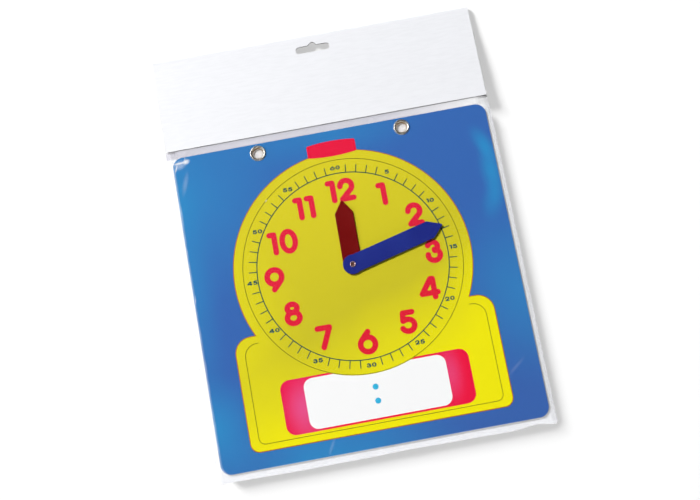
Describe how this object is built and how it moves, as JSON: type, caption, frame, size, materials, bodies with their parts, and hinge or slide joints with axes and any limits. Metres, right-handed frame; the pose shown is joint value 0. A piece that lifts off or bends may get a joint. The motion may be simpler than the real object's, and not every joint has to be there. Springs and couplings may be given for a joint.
{
  "type": "demonstration clock",
  "caption": "Square laminated teaching clock with hand-turned plastic hands on a rivet, printed dial, write-on panel and hanging eyelets, in its clear bag with a folded header card",
  "frame": {"origin": "under the middle of the square board, on the flat underside that the packed clock lies on", "axes": "+Z out of the clock's face, +Y towards twelve o'clock, +X towards three o'clock"},
  "size_m": [0.315, 0.4125, 0.0076],
  "materials": {
    "chipboard": "raw greyboard edge",
    "blue_laminate": "gloss film over print",
    "white_laminate": "gloss film over white paper",
    "orange_print": "gloss film over print",
    "yellow_print": "gloss film over print",
    "red_print": "gloss film over print",
    "white_print": "gloss write-on surface",
    "cyan_print": "gloss film over print",
    "teal_print": "gloss film over print",
    "red_plastic": "satin moulded",
    "blue_plastic": "satin moulded",
    "fibre_washer": "matt",
    "nickel": "bright nickel plate",
    "clear_film": "clear gloss film",
    "white_card": "coated card",
    "tape": "matt"
  },
  "bodies": {
    "board": {"board_core": "chipboard", "front_sheet": "blue_laminate", "back_sheet": "white_laminate", "clock_outline_print": "orange_print", "clock_body_print": "yellow_print", "bell_button_print": "red_print", "minute_track_print": "teal_print", "dial_rim_line_print": "orange_print", "base_line_print": "orange_print", "window_frame_print": "red_print", "write_on_panel_print": "white_print", "colon_dot_upper_print": "cyan_print", "colon_dot_lower_print": "cyan_print", "numeral_1": "red_print", "numeral_2": "red_print", "numeral_3": "red_print", "numeral_4": "red_print", "numeral_5": "red_print", "numeral_6": "red_print", "numeral_7": "red_print", "numeral_8": "red_print", "numeral_9": "red_print", "numeral_10_tens": "red_print", "numeral_10_units": "red_print", "numeral_11_tens": "red_print", "numeral_11_units": "red_print", "numeral_12_tens": "red_print", "numeral_12_units": "red_print", "pivot_washer_lower": "fibre_washer", "pivot_washer_upper": "fibre_washer", "pivot_washer_back": "nickel", "pivot_rivet": "nickel", "hanging_eyelet_left": "nickel", "eyelet_washer_left": "nickel", "hanging_eyelet_right": "nickel", "eyelet_washer_right": "nickel"},
    "hour_hand": {"hour_hand": "red_plastic"},
    "minute_hand": {"minute_hand": "blue_plastic"},
    "retail_pack": {"bag_back_film": "clear_film", "bag_front_film": "clear_film", "header_card": "white_card", "header_tape": "tape"}
  },
  "joints": [
    {"name": "hour_hand_turn", "type": "hinge", "parent": "board", "child": "hour_hand", "pos_m": [0, 0.0191, 0.0045], "axis": [0, 0, -1], "continuous": true},
    {"name": "minute_hand_turn", "type": "hinge", "parent": "board", "child": "minute_hand", "pos_m": [0, 0.0191, 0.006], "axis": [0, 0, -1], "continuous": true},
    {"name": "pack_slide", "type": "slide", "parent": "board", "child": "retail_pack", "axis": [0, 1, 0], "range_m": [0, 0.33]}
  ]
}
